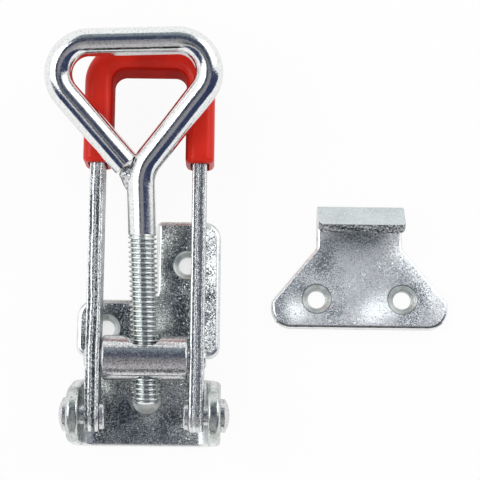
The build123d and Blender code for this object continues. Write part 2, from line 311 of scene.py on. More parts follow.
# where the pressing left the sheet leaning a little: x, y, reach, then the lean along X and
# along Y, and how much painted shade darkens the colour there (a painted highlight where negative)
baseLeans = [
    (2.0, 36.0, 4.0, -0.24, 0.00, 0.0), (2.2, 29.0, 3.6, -0.22, 0.00, 0.0),
    (4.2, 20.5, 3.6, -0.18, -0.08, 0.0), (6.0, 40.0, 4.0, -0.15, 0.00, 0.0),
    (13.0, 38.6, 3.0, 0.48, 0.00, -0.3), (13.8, 33.8, 2.6, 0.52, 0.00, -0.3),
    (13.9, 28.8, 2.6, 0.52, 0.00, -0.3), (13.9, 23.8, 2.6, 0.52, 0.00, -0.3),
    (13.9, 18.8, 2.6, 0.52, 0.00, -0.3), (13.6, 15.4, 2.2, 0.50, 0.00, -0.3),
    (-8.0, 5.0, 3.5, -0.20, 0.05, 0.0), (0.8, 2.4, 3.4, 0.00, -0.20, 0.0),
    (8.0, 6.5, 3.2, 0.12, -0.10, 0.0),
]
keeperLeans = [
    (31.3, 23.4, 3.2, -0.36, 0.00, -0.05), (50.4, 24.4, 4.4, -0.36, 0.00, -0.10),
    (46.0, 22.0, 3.4, -0.20, 0.00, 0.0), (41.0, 30.0, 7.0, -0.10, 0.00, 0.0),
    (55.2, 36.0, 3.0, 0.28, 0.00, -0.15), (58.4, 31.8, 3.8, 0.30, 0.00, -0.15),
    (61.4, 27.6, 3.2, 0.30, 0.00, -0.15), (62.6, 23.2, 3.8, 0.28, 0.00, -0.15),
    (37.4, 36.2, 3.0, 0.00, 0.16, 0.36), (36.2, 32.6, 3.2, 0.00, 0.16, 0.44),
    (32.2, 28.9, 3.0, 0.00, 0.14, 0.58), (27.4, 25.2, 2.9, 0.00, 0.12, 0.72),
    (28.0, 21.6, 2.3, 0.00, 0.10, 0.60), (58.1, 26.6, 2.9, 0.00, 0.16, 0.78),
    (56.0, 22.0, 2.4, 0.00, 0.16, 0.58), (39.0, 23.0, 3.0, 0.00, 0.14, 0.60),
    (39.6, 29.0, 3.0, 0.00, 0.14, 0.42), (45.2, 39.4, 5.0, 0.00, 0.00, 0.24),
]


def makePlatedSheet(name, look, leans, seed):
    # fine crystal grain: every cell has its own brightness and its own small lean; round
    # each row of leans the whole sheet leans by a share that falls off with the distance, and
    # by the same share its colour takes the row's painted shade (a painted highlight where
    # negative); seed turns the slow patterns, in radians
    material, tree, shader, place = newMaterial(name, {"Metallic": 1.0})
    patches = noise(tree, place, *look["patches"], turn=(0, 0, seed))
    clouds = remap(tree, patches, *look["cloudTone"], smooth=True)
    specks = remap(tree, noise(tree, place, *look["fine"]), *look["speckTone"])
    cells = grainCells(tree, place, look["grain"])
    lot = addNode(tree, "ShaderNodeSeparateColor", None, {"Color": cells.outputs["Color"]}).outputs
    shine = mathNode(tree, "POWER", lot[0], look["toneRare"])
    tone = mathNode(tree, "ADD", shine, mathNode(tree, "MULTIPLY", clouds, specks))
    normal = surfaceNormal(tree)
    level = flattened(tree, place)
    for x, y, reach, leanX, leanY, paintedShade in leans:
        away = fromLine(tree, level, x, y)
        share = remap(tree, away, 0.0, reach * look["leanFade"] * mm, 1.0, 0.0, smooth=True)
        push = vectorMath(tree, "SCALE", (leanX, leanY, 0), scale=share)
        normal = vectorMath(tree, "ADD", normal, push)
        # painted shade darkens the colour by the row's share; a negative value paints a highlight instead
        if paintedShade:
            tone = mathNode(tree, "MULTIPLY_ADD", share, -paintedShade, tone)
    slow = noise(tree, place, *look["waves"], turn=(0, 0, seed))
    wave = relief(tree, slow, *look["bump"], vectorMath(tree, "NORMALIZE", normal))
    flash = mathNode(tree, "POWER", lot[2], look["glintRare"])
    lean = mathNode(tree, "MULTIPLY_ADD", flash, look["glintLean"], look["grainLean"])
    plug(tree, shader, {
        "Base Color": threeTones(tree, tone, look),
        "Roughness": remap(tree, lot[1], 0.0, 1.0, *look["rough"]),
        "Normal": grainTilt(tree, cells, lean, wave),
    })
    return material


cutCone = {
    "rings": ((0.05, 0.05, 7.0), 3.0, 0.6), "ringTone": (0.38, 0.52), "bump": (0.10, 0.8), "rough": 0.34,
    "stain": (0.5, 2.0, 0.5), "stainTone": (0.3, 0.6, 0.6, 1.0),
    "lipDepth": (0.26, 0.12),                   # the dull ring starts and is full this far under the face
    "pale": (0.90, 0.93, 0.91), "dull": (0.55, 0.59, 0.57), "lip": (0.22, 0.24, 0.24),
}


def makeCountersunk(name, look):
    # turned rings: the height depends on Z alone, so on a cone they are concentric;
    # the last of the cone, under the sheet's face, is a dull ring
    material, tree, shader, place = newMaterial(name, {"Metallic": 1.0, "Roughness": look["rough"]})
    rings = noise(tree, place, *look["rings"])
    stain = remap(tree, noise(tree, place, *look["stain"]), *look["stainTone"])
    tone = mathNode(tree, "MULTIPLY", remap(tree, rings, *look["ringTone"]), stain)
    start, full = ((screwHoles["sheet"] - depth) * mm for depth in look["lipDepth"])
    mouth = remap(tree, splitVector(tree, place)[2], start, full)
    cone = blendColours(tree, tone, look["dull"], look["pale"])
    plug(tree, shader, {
        "Base Color": blendColours(tree, mouth, cone, look["lip"]),
        "Normal": relief(tree, rings, *look["bump"]),
    })
    return material


rubbedRim = {
    "pits": (2.4, 3.0, 0.65), "pitTone": (0.30, 0.46), "bump": (0.05, 0.7), "rough": (0.24, 0.36),
    "scuffs": (0.5, 2.0, 0.5, 0.4), "scuffTone": (0.25, 0.5, 0.4, 1.0),
    "dull": (0.70, 0.74, 0.74), "pale": (0.97, 0.98, 0.98),
}
# painted shade: the rubbed rim made much darker, for rims that lie in shade
paintedShadeRimLook = rubbedRim | {"dull": (0.06, 0.065, 0.07), "pale": (0.30, 0.31, 0.31)}
rubbedEar = rubbedRim | {"dull": (0.22, 0.245, 0.24), "pale": (0.72, 0.76, 0.73), "rough": (0.20, 0.34)}


def makeRubbedRim(name, look):
    # rolled rims and folds, rubbed smooth by the press tool: faint pits and long soft scuffs
    material, tree, shader, place = newMaterial(name, {"Metallic": 1.0})
    pits = noise(tree, place, *look["pits"])
    scuffs = noise(tree, place, *look["scuffs"])
    tone = mathNode(tree, "MULTIPLY", remap(tree, pits, *look["pitTone"]), remap(tree, scuffs, *look["scuffTone"]))
    plug(tree, shader, {
        "Base Color": blendColours(tree, tone, look["dull"], look["pale"]),
        "Roughness": remap(tree, scuffs, *noiseRange, *look["rough"]),
        "Normal": relief(tree, mathNode(tree, "ADD", pits, scuffs), *look["bump"]),
    })
    return material


tornLip = {
    "layers": ((0.25, 1.9, 1.9), 3.0, 0.6, 0.5), "layerTone": (0.36, 0.64), "layerShare": 0.45,
    "grit": ((2.6, 3.6, 3.6), 3.0, 0.7), "gritTone": (0.38, 0.62, -0.15, 0.80),
    "grain": (2.0, 3.2, 3.2), "grainLean": 0.5, "bump": (0.22, 1.0), "rough": (0.22, 0.5), "middle": 0.5,
    # painted shade: these colours are kept very dark
    "deep": (0.02, 0.022, 0.025), "dull": (0.16, 0.17, 0.18), "pale": (1.0, 1.0, 1.0),
}


def makeTornLip(name, look):
    # the cut end of the hook: coarse torn grain drawn out along X, in colours kept very dark as painted shade
    material, tree, shader, place = newMaterial(name, {"Metallic": 1.0})
    layers = noise(tree, place, *look["layers"])
    grit = noise(tree, place, *look["grit"])
    tone = mathNode(tree, "MULTIPLY_ADD", remap(tree, layers, *look["layerTone"]), look["layerShare"],
                    remap(tree, grit, *look["gritTone"]))
    tilt = grainTilt(tree, grainCells(tree, place, look["grain"]), look["grainLean"])
    plug(tree, shader, {
        "Base Color": threeTones(tree, tone, look),
        "Roughness": remap(tree, grit, *noiseRange, *look["rough"]),
        "Normal": relief(tree, mathNode(tree, "ADD", layers, grit), *look["bump"], tilt),
    })
    return material


shearedEdge = {
    "inner": 9.2, "thick": 3.0,                 # the strip's inner face and thickness
    # painted highlights on the ridges and painted shade in the hollows, with matching relief: place across the strip,
    # half width, strength
    "leftRidges": [(0.19, 0.045, 1.0), (0.60, 0.10, 0.45), (0.97, 0.05, 0.6)],
    "leftHollows": [(0.38, 0.13, 1.3), (0.82, 0.09, 1.2)],
    "rightRidges": [(0.38, 0.055, 1.2), (0.86, 0.050, 1.2)],
    "rightHollows": [(0.26, 0.05, 0.40), (0.50, 0.05, 0.25), (0.77, 0.04, 0.30)],
    "softFrom": 0.5, "softTo": 1.6,             # a stripe fades between these half widths
    "sway": ((0.03, 0.07, 0.07), 3.0, 0.6), "wander": 0.05,         # slow wavering, as a share of the thickness
    "beads": ((2.6, 1.82, 1.82), 3.0, 0.7), "jitter": 0.035,        # fine beads that break the stripes up
    "lasting": ((0.25, 0.07, 0.07), 3.0, 0.6, 0.0, (0, 0, 0.02)),
    "lastShare": (0.36, 0.54, 0.35, 1.0), "shadeBreakupShare": (0.35, 0.62, 1.0, 0.55),
    "beadRange": (0.54, 0.92), "hollowShadeShare": -0.75, "ridgeHighlightShare": 0.7, "middle": 0.42,
    "grain": (3.4, 2.8, 2.8), "grainLean": 0.16, "beadHeight": 0.5, "bump": (0.08, 0.8), "rough": (0.16, 0.34),
    "deep": (0.07, 0.08, 0.09), "dull": (0.58, 0.61, 0.60), "pale": (0.97, 0.98, 0.98),
}


def makeShearedEdge(name, look):
    # the edges that the shears left: ridges and hollows run along the strip, at a share of its thickness, waver a
    # little and are broken up by fine beads; the ridges carry painted highlights and the hollows painted shade, in
    # colour and relief
    material, tree, shader, place = newMaterial(name, {"Metallic": 1.0})
    sideways = splitVector(tree, place)[0]
    inward = mathNode(tree, "MULTIPLY_ADD", mathNode(tree, "ABSOLUTE", sideways), 1 / mm, -look["inner"])
    sway = remap(tree, noise(tree, place, *look["sway"]), *noiseRange, -look["wander"], look["wander"])
    beads = noise(tree, place, *look["beads"])
    across = mathNode(tree, "MULTIPLY_ADD", inward, 1 / look["thick"], sway)
    across = mathNode(tree, "ADD", across, remap(tree, beads, *noiseRange, -look["jitter"], look["jitter"]))
    onRight = mathNode(tree, "GREATER_THAN", sideways, 0.0)
    onLeft = mathNode(tree, "SUBTRACT", 1.0, onRight)

    def stripes(rows, onSide):
        total = 0.0
        for middle, half, strength in rows:
            away = mathNode(tree, "ABSOLUTE", mathNode(tree, "SUBTRACT", across, middle))
            stripe = remap(tree, away, half * look["softFrom"], half * look["softTo"], strength, 0.0, smooth=True)
            total = mathNode(tree, "MAXIMUM", total, stripe)
        return mathNode(tree, "MULTIPLY", total, onSide)

    ridgeHighlightAndRise = mathNode(tree, "ADD", stripes(look["leftRidges"], onLeft), stripes(look["rightRidges"], onRight))
    hollowShadeAndDip = mathNode(tree, "ADD", stripes(look["leftHollows"], onLeft), stripes(look["rightHollows"], onRight))
    lasting = remap(tree, noise(tree, place, *look["lasting"]), *look["lastShare"])
    shadeBreakup = remap(tree, beads, *look["shadeBreakupShare"])
    hollowShadeAndDip = mathNode(tree, "MULTIPLY", hollowShadeAndDip, mathNode(tree, "MULTIPLY", lasting, shadeBreakup))
    # painted shade in the hollows and painted highlights on the ridges
    tone = remap(tree, beads, *noiseRange, *look["beadRange"])
    tone = mathNode(tree, "MULTIPLY_ADD", hollowShadeAndDip, look["hollowShadeShare"], tone)
    tone = mathNode(tree, "MULTIPLY_ADD", ridgeHighlightAndRise, look["ridgeHighlightShare"], tone)
    tilt = grainTilt(tree, grainCells(tree, place, look["grain"]), look["grainLean"])
    height = mathNode(tree, "MULTIPLY_ADD", beads, look["beadHeight"], mathNode(tree, "SUBTRACT", ridgeHighlightAndRise, hollowShadeAndDip))
    plug(tree, shader, {
        "Base Color": threeTones(tree, tone, look),
        "Roughness": remap(tree, beads, *noiseRange, *look["rough"]),
        "Normal": relief(tree, height, *look["bump"], tilt),
    })
    return material


rolledThread = {
    "pits": (2.2, 3.0, 0.65), "bump": (0.06, 0.7), "rough": (0.08, 0.20),
    "depthTone": (0.25, 1.0), "dirtTone": (0.3, 0.6, 1.0, 0.55),
    # painted shade: the root colour darkens the grooves
    "crest": (0.92, 0.95, 0.93), "shadedRoot": (0.42, 0.47, 0.46),
}


def makeRolledThread(name, look):
    # painted shade: the roots darker than the crests, by the groove depth kept in the mesh, with faint pits breaking
    # it up
    material, tree, shader, place = newMaterial(name, {"Metallic": 1.0})
    depth = addNode(tree, "ShaderNodeAttribute", attribute_name="groove").outputs["Fac"]
    pits = noise(tree, place, *look["pits"])
    rootShadeAndPits = mathNode(tree, "MULTIPLY", remap(tree, depth, *look["depthTone"]), remap(tree, pits, *look["dirtTone"]))
    plug(tree, shader, {
        "Base Color": blendColours(tree, rootShadeAndPits, look["crest"], look["shadedRoot"]),
        "Roughness": remap(tree, pits, *noiseRange, *look["rough"]),
        "Normal": relief(tree, pits, *look["bump"]),
    })
    return material


brightRod = {
    "pits": (2.6, 3.0, 0.6), "pitTone": (0.3, 0.5), "haze": (0.22, 2.0, 0.5), "bump": (0.03, 0.55),
    "hazeShare": (0.4, 0.65, 0.07, 0.17), "pitShare": (0.5, 0.8, 0.0, 0.10),        # of the roughness
    "dull": (0.62, 0.64, 0.64), "pale": (0.92, 0.93, 0.92),
}


def makeBrightRod(name, look):
    # drawn rod under bright zinc: faint pits and cloudy, slightly rough patches
    material, tree, shader, place = newMaterial(name, {"Metallic": 1.0})
    pits = noise(tree, place, *look["pits"])
    haze = remap(tree, noise(tree, place, *look["haze"]), *look["hazeShare"])
    plug(tree, shader, {
        "Base Color": blendColours(tree, remap(tree, pits, *look["pitTone"]), look["dull"], look["pale"]),
        "Roughness": mathNode(tree, "ADD", haze, remap(tree, pits, *look["pitShare"])),
        "Normal": relief(tree, pits, *look["bump"]),
    })
    return material


turnedBar = {
    "rings": ((9.0, 0.12, 0.12), 3.0, 0.6), "specks": (3.4, 3.0, 0.7), "speckTone": (0.35, 0.6),
    "grain": 4.0, "grainLean": 0.10, "bump": (0.012, 0.6),
    "rough": (0.17, 0.27), "dull": (0.42, 0.44, 0.46), "pale": (0.95, 0.94, 0.94),
}
formedRivet = turnedBar | {"rough": (0.22, 0.32)}


def makeTurnedBar(name, look):
    # fine turning marks round the barrel's own axis, which is X, under grains and specks
    material, tree, shader, place = newMaterial(name, {"Metallic": 1.0})
    rings = noise(tree, place, *look["rings"])
    specks = noise(tree, place, *look["specks"])
    tilt = grainTilt(tree, grainCells(tree, place, look["grain"]), look["grainLean"])
    plug(tree, shader, {
        "Base Color": blendColours(tree, remap(tree, specks, *look["speckTone"]), look["dull"], look["pale"]),
        "Roughness": remap(tree, specks, *noiseRange, *look["rough"]),
        "Normal": relief(tree, rings, *look["bump"], tilt),
    })
    return material


dippedVinyl = {
    "runs": ((0.16, 0.09, 0.16), 2.0, 0.5), "runBump": (0.5, 0.5),
    "peel": (0.9, 2.0, 0.5), "peelBump": (0.02, 0.5),
    "dust": (7.0, 2.0, 0.6), "dustShare": (0.35, 0.75), "rough": (0.24, 0.34),
    "gloss": 0.30, "index": 1.42,
    "red": (0.74, 0.024, 0.010), "deep": (0.56, 0.017, 0.008),
}
# painted shade: a darker, less glossy red for the grip's inner walls
wallShadeVinyl = dippedVinyl | {
    "gloss": 0.03, "rough": (0.50, 0.60), "red": (0.52, 0.015, 0.008), "deep": (0.40, 0.012, 0.007),
}


def makeDippedVinyl(name, look):
    # thick glossy coating: slow runs, a faint orange peel and slightly duller patches
    material, tree, shader, place = newMaterial(name, {"Specular IOR Level": look["gloss"], "IOR": look["index"]})
    slow = noise(tree, place, *look["runs"])
    runs = relief(tree, slow, *look["runBump"])
    plug(tree, shader, {
        "Base Color": blendColours(tree, remap(tree, slow, *noiseRange), look["red"], look["deep"]),
        "Roughness": remap(tree, noise(tree, place, *look["dust"]), *look["dustShare"], *look["rough"]),
        "Normal": relief(tree, noise(tree, place, *look["peel"]), *look["peelBump"], runs),
    })
    return material


weldMetal = {
    "scale": (1.4, 4.0, 0.6, 0.6), "scaleTone": (0.38, 0.5),
    "grain": 0.9, "grainLean": 0.5, "bump": (0.25, 0.8), "rough": 0.16,
    "dark": (0.20, 0.20, 0.22), "pale": (0.82, 0.83, 0.84),
}


def makeWeld(name, look):
    # bright metal that set in large facets, with dark scale between them
    material, tree, shader, place = newMaterial(name, {"Metallic": 1.0, "Roughness": look["rough"]})
    scale = noise(tree, place, *look["scale"])
    tilt = grainTilt(tree, grainCells(tree, place, look["grain"]), look["grainLean"])
    plug(tree, shader, {
        "Base Color": blendColours(tree, remap(tree, scale, *look["scaleTone"]), look["dark"], look["pale"]),
        "Normal": relief(tree, scale, *look["bump"], tilt),
    })
    return material


basePlated = makePlatedSheet("platedBaseSheet", platedSheet, baseLeans, 0.4)
keeperPlated = makePlatedSheet("platedKeeperSheet", keeperSheet, keeperLeans, 1.9)
lipPlated = makePlatedSheet("platedHookTop", hookTop, [], 5.2)
lipTorn = makeTornLip("tornHookEnd", tornLip)
rimRubbed = makeRubbedRim("rubbedRim", rubbedRim)
rimPaintedShade = makeRubbedRim("paintedShadeRim", paintedShadeRimLook)
earRubbed = makeRubbedRim("rubbedEar", rubbedEar)
armPlated = makePlatedSheet("platedStripFace", stripFace, [], 3.1)
countersunk = makeCountersunk("countersunkPlated", cutCone)
stripEdge = makeShearedEdge("shearedStripEdge", shearedEdge)
rodBright = makeBrightRod("brightRod", brightRod)
threadBright = makeRolledThread("rolledThread", rolledThread)
barPlated = makeTurnedBar("turnedBar", turnedBar)
rivetPlated = makeTurnedBar("formedRivet", formedRivet)
vinylRed = makeDippedVinyl("dippedVinyl", dippedVinyl)
vinylPaintedShade = makeDippedVinyl("dippedVinylPaintedShade", wallShadeVinyl)
weldShiny = makeWeld("weldBead", weldMetal)
print("finishes ready")


# places from the frame
pivotLow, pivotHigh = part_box("pivot_rivet_left")
pivotHeight = (pivotLow.z + pivotHigh.z) / 2 / mm
barrelLow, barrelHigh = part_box("barrel")
barrelMiddle = np.array([0.0, (barrelLow.y + barrelHigh.y) / 2 / mm, pivotHeight])
adjust = [joint for joint in frame["joints"] if joint["name"] == "loop_adjust"][0]
stemWay = np.array(adjust["axis"]) / np.linalg.norm(adjust["axis"])
lean = math.asin(-stemWay[0])
rise = math.atan2(stemWay[2], stemWay[1])
sideWay = np.array([math.cos(lean), math.sin(lean) * math.cos(rise), math.sin(lean) * math.sin(rise)])
upWay = np.cross(sideWay, stemWay)


def onLoop(side, along, up):
    # the barrel's middle plus side, along and up times the loop's three directions:
    # across the stem, along it, and out of the loop's plane; all in millimetres
    side, along, up = np.broadcast_arrays(side, along, up)
    return barrelMiddle + side[..., None] * sideWay + along[..., None] * stemWay + up[..., None] * upWay


# base and keeper, with the screw holes where the record's mounts are
holePlaces = []
for mount in frame["record"]["mounts"]:
    x, y = mount["pos_m"][0] / mm, mount["pos_m"][1] / mm
    if mount["kind"] == "bore":
        holePlaces.append((x, y))
    if mount["kind"] == "bolt_pattern":
        half = mount["dims"]["spacing_x_mm"] / 2
        holePlaces += [(x - half, y), (x + half, y)]

flatLimit, levelLimit = 0.985, 0.95             # shares of the normal over which a face is flat, or level


def sortFaces(piece):
    # 0 the flat sheet, 1 countersinks and hole walls, near a hole's axis and not
    # level, 2 rolled rims and folds, which neither lie flat nor stand on a side face;
    # the faces' middles and normals are returned with it, one row for each axis
    centre, normal = faceData(piece)
    level, sideways = np.abs(normal[:, 2]), np.abs(normal[:, 0])
    kind = np.where((level < flatLimit) & (sideways < flatLimit), 2, 0)
    for x, y in holePlaces:
        away = np.hypot(centre[:, 0] - x, centre[:, 1] - y)
        inHole = (away < screwHoles["reach"]) & (centre[:, 2] < screwHoles["sheet"])
        kind[inHole & (level < levelLimit)] = 1
    return kind, centre.T, normal.T


baseFaces = {
    "sharp": 28, "bevel": 0.10,
    "earOut": 13.2, "earFront": 11, "earAbove": 3.5,        # an ear is past this X, before this Y and above this Z
    "rearRim": 20, "rearLean": 0.4,             # rims past this Y that face the rear get the ears' darker colour as painted shade
}
basePlate = dressedCopy("base_plate", "basePlate", baseFaces)
settle(basePlate, "base", "plated_sheet", basePlated, countersunk, rimRubbed, earRubbed)
kind, (x, y, z), normal = sortFaces(basePlate)
kind[(np.abs(x) > baseFaces["earOut"]) & (y < baseFaces["earFront"]) & (z > baseFaces["earAbove"])] = 3
# painted shade: rear-facing rims take the ears' darker finish
kind[(kind == 2) & (y > baseFaces["rearRim"]) & (normal[1] > baseFaces["rearLean"])] = 3
paintFaces(basePlate, kind)

keeperFaces = {
    "sharp": 28, "bevel": 0.10,
    "hookRear": 38, "hookAbove": 4.5, "topLean": 0.25,      # the hook's top faces up past this Y and Z
    "endDepth": 2.9, "endLean": -0.2,           # its torn end faces the front, this near to the highest point
    "frontRim": 21, "frontLean": (-0.75, -0.25),            # the lower part of the front rim gets painted shade, a much darker rim
}
keeperPlate = dressedCopy("keeper_plate", "keeperPlate", keeperFaces)
settle(keeperPlate, "base", "plated_keeper", keeperPlated, countersunk, rimRubbed, lipPlated, lipTorn, rimPaintedShade)
kind, (x, y, z), normal = sortFaces(keeperPlate)
steep, slight = keeperFaces["frontLean"]
kind[(z > keeperFaces["hookAbove"]) & (normal[2] > keeperFaces["topLean"]) & (y > keeperFaces["hookRear"])] = 3
kind[(z > z.max() - keeperFaces["endDepth"]) & (normal[1] < keeperFaces["endLean"])] = 4
# painted shade on the lower part of the front rim
kind[(kind == 2) & (y < keeperFaces["frontRim"]) & (normal[1] > steep) & (normal[1] < slight)] = 5
paintFaces(keeperPlate, kind)
print("plates ready")

# handle: the strip's two sides are rolled faces, its edges are sheared
barFaces = {"sharp": 35, "bevel": 0.06, "side": 0.9}
handleBar = dressedCopy("handle_bar", "handleBar", barFaces)
settle(handleBar, "handle", "plated_strip", stripEdge, armPlated)
paintFaces(handleBar, np.abs(faceData(handleBar)[1][:, 0]) > barFaces["side"])

# grip: the walls that face its own middle get painted shade, a darker and less glossy red
gripFaces = {"sharp": 40, "bevel": 0, "wall": 0.6}
handleGrip = dressedCopy("handle_grip", "handleGrip", gripFaces)
settle(handleGrip, "handle", "red_coating", vinylRed, vinylPaintedShade)
centre, normal = faceData(handleGrip)
inward = normal[:, 0] * centre[:, 0] + normal[:, 1] * (centre[:, 1] - centre[:, 1].mean()) < 0
paintFaces(handleGrip, inward & (np.abs(normal[:, 2]) < gripFaces["wall"]))

barrelFaces = {"sharp": 30, "bevel": 0.08}
crossBarrel = dressedCopy("barrel", "crossBarrel", barrelFaces)
settle(crossBarrel, "cross_barrel", "plated_bar", barPlated)

rivetFaces = {"sharp": 30, "bevel": 0.06}
for side in ("left", "right"):
    rivet = dressedCopy(f"pivot_rivet_{side}", f"{side}Rivet", rivetFaces)
    settle(rivet, "base", "plated_rivet", rivetPlated)
print("handle ready")


# loop bolt: rod, threaded stem and weld, in millimetres and degrees; places along the stem
# start at the barrel's middle
loop = {
    "wire": 2.9, "around": 56, "step": 0.8, "sharp": 40,
    "offset": -0.9, "crotch": 37.7, "bar": 65.4, "halfAngle": 39.5,
    "stemBend": 8.0, "corner": 6.5, "cutEnd": 40.1, "overlap": 0.3,        # the rod starts inside the thread's end
}
thread = {
    "tail": -9.4, "end": 25.9, "crest": 2.975, "depth": 0.58, "pitch": 1.0, "tailBevel": 0.8,
    "crestShare": 0.12, "flankShare": 0.70,     # shares of half a pitch
    "runOut": 1.2, "runOutDrop": 0.10, "around": 72, "perPitch": 14,
    "endSlack": 0.01,                           # so that a ring right at the end is kept
}


def straight(a, b, step):
    # points from a to b with at most step between them, without b itself
    count = max(2, int(np.linalg.norm(b - a) / step) + 1)
    return a + (b - a) * np.linspace(0, 1, count)[:-1, None]


def bentRoute(corners, radii, step):
    # centre line in the loop's plane: straight runs joined by tangent arcs, sampled
    # every step mm and twice as finely in the arcs; returns points and unit directions
    corners = [np.array(c, float) for c in corners]
    parts = []
    start = corners[0]
    for before, turn, after, radius in zip(corners[:-2], corners[1:-1], corners[2:], radii):
        go = (turn - before) / np.linalg.norm(turn - before)
        leave = (after - turn) / np.linalg.norm(after - turn)
        angle = math.acos(np.clip(go @ leave, -1, 1))
        hand = math.copysign(1, go[0] * leave[1] - go[1] * leave[0])
        cut = radius * math.tan(angle / 2)
        enter = turn - go * cut
        parts.append(straight(start, enter, step))
        centre = enter + hand * radius * np.array([-go[1], go[0]])
        t = np.linspace(0, angle, max(8, int(angle * radius / step * 2)))[:-1] * hand
        arm = enter - centre
        arc = np.stack([arm[0] * np.cos(t) - arm[1] * np.sin(t), arm[0] * np.sin(t) + arm[1] * np.cos(t)], axis=1)
        parts.append(centre + arc)
        start = turn + leave * cut
    parts.append(straight(start, corners[-1], step))
    points = np.concatenate(parts + [corners[-1][None]])
    way = np.gradient(points, axis=0)
    way /= np.linalg.norm(way, axis=1)[:, None]
    return points, way


def wireAlong(points, way, radius, around):
    # a ring of the given radius square to each direction: side normal in the
    # plane times cos, plane normal times sin
    a = np.linspace(0, 2 * math.pi, around, endpoint=False)
    across = np.stack([way[:, 1], -way[:, 0]], axis=1)
    side = points[:, None, 0] + radius * np.cos(a) * across[:, None, 0]
    along = points[:, None, 1] + radius * np.cos(a) * across[:, None, 1]
    return onLoop(side, along, radius * np.sin(a))


slope = math.tan(math.radians(loop["halfAngle"]))
halfSpan = (loop["bar"] - loop["crotch"]) * slope
stemTurn = loop["crotch"] - loop["offset"] / slope
cutSide = loop["offset"] - (loop["cutEnd"] - loop["crotch"]) * slope
route, routeWay = bentRoute(
    [(0, thread["end"] - loop["overlap"]), (0, stemTurn), (loop["offset"] + halfSpan, loop["bar"]),
     (loop["offset"] - halfSpan, loop["bar"]), (cutSide, loop["cutEnd"])],
    [loop["stemBend"], loop["corner"], loop["corner"]], loop["step"])
loopRod = tubeMesh("loopRod", wireAlong(route, routeWay, loop["wire"], loop["around"]))
loopRod.data.set_sharp_from_angle(angle=math.radians(loop["sharp"]))
settle(loopRod, "loop", "bright_rod", rodBright)
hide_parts("loop_bolt")


def threadedStem(look):
    # height along the stem s and turn a: the radius is the crest less the depth of a
    # rounded V at the phase s / pitch - a / 2 pi; the V runs out to a slightly smaller rod
    # before the end, and the tail is bevelled
    a = np.linspace(0, 2 * math.pi, look["around"], endpoint=False)
    s = np.arange(look["tail"], look["end"] + look["endSlack"], look["pitch"] / look["perPitch"])
    phase = s[:, None] / look["pitch"] - a / (2 * math.pi)
    wave = np.abs((phase % 1.0) - 0.5) * 2
    groove = np.clip((wave - look["crestShare"]) / look["flankShare"], 0, 1)
    groove = groove * groove * (3 - 2 * groove)
    fade = np.clip((look["end"] - s) / look["runOut"], 0, 1)[:, None]
    radius = look["crest"] - look["depth"] * groove * fade - look["runOutDrop"] * (1 - fade)
    bevel = look["crest"] - look["tailBevel"] + (s - look["tail"])[:, None]
    radius = np.minimum(radius, bevel)
    return onLoop(radius * np.cos(a), s[:, None], radius * np.sin(a)), groove * fade


threadGrid, threadGroove = threadedStem(thread)
stem = tubeMesh("threadedStem", threadGrid)
groove = stem.data.attributes.new("groove", "FLOAT", "POINT")
endPoints = [0.0, 0.0]          # the middles of the two closing fans have no groove
groove.data.foreach_set("value", np.append(threadGroove.ravel(), endPoints).astype(np.float32))
settle(stem, "loop", "bright_rod", threadBright)

weldBead = {
    "side": -2.3, "along": 37.7, "radius": 2.139, "around": 64, "poleGap": 0.02,
    "swell": 0.045, "waves": ((2, 1), (3, 2), (4, 3), (5, 4), (7, 5)),      # counts along its two angles
    "phases": (0, 6), "seed": 5,
    "run": 2.6, "drift": 0.728,                 # how far it runs down the stem and in towards it
    "thinSide": 0.25, "thinUp": 0.3,            # what the run loses of its width and height
}


def weldBlob(look):
    # a ball whose radius swells and sinks with a few cosines of its two angles, drawn
    # out to a run along the stem on the barrel's side
    rng = np.random.default_rng(look["seed"])
    u = np.linspace(look["poleGap"], math.pi - look["poleGap"], look["around"] // 2)[:, None]
    v = np.linspace(0, 2 * math.pi, look["around"], endpoint=False)[None, :]
    phases = look["phases"]
    swell = sum(look["swell"] * np.cos(k * u + rng.uniform(*phases)) * np.cos(m * v + rng.uniform(*phases))
                for k, m in look["waves"])
    radius = look["radius"] * (1 + swell)
    run = np.clip(-np.cos(u), 0, 1)
    side = look["side"] + radius * np.sin(u) * np.cos(v) * (1 - look["thinSide"] * run) + look["drift"] * run
    along = look["along"] + radius * np.cos(u) - look["run"] * run * run
    up = radius * np.sin(u) * np.sin(v) * (1 - look["thinUp"] * run)
    return onLoop(side, along, up)


weld = tubeMesh("weldBead", weldBlob(weldBead))
settle(weld, "loop", "bright_rod", weldShiny)
print("loop bolt ready")


# floor and light
floorLook = {
    "size": 1600, "grey": 0.86, "glow": 1.0, "seenShare": 0.92, "mirrorShare": 0.35,
    # in the base plate's holes, whose X is under baseEnd, the camera's glow share drops so that the matt
    # floor's shadow shows, a painted shade: the distances from their axes at which this shade starts and stops
    # to fade, and the share seen in those at the sides and in the one on the middle line
    "baseEnd": 20, "shade": (2.88, 3.52), "underShare": 0.62, "slotShare": 0.15,
}


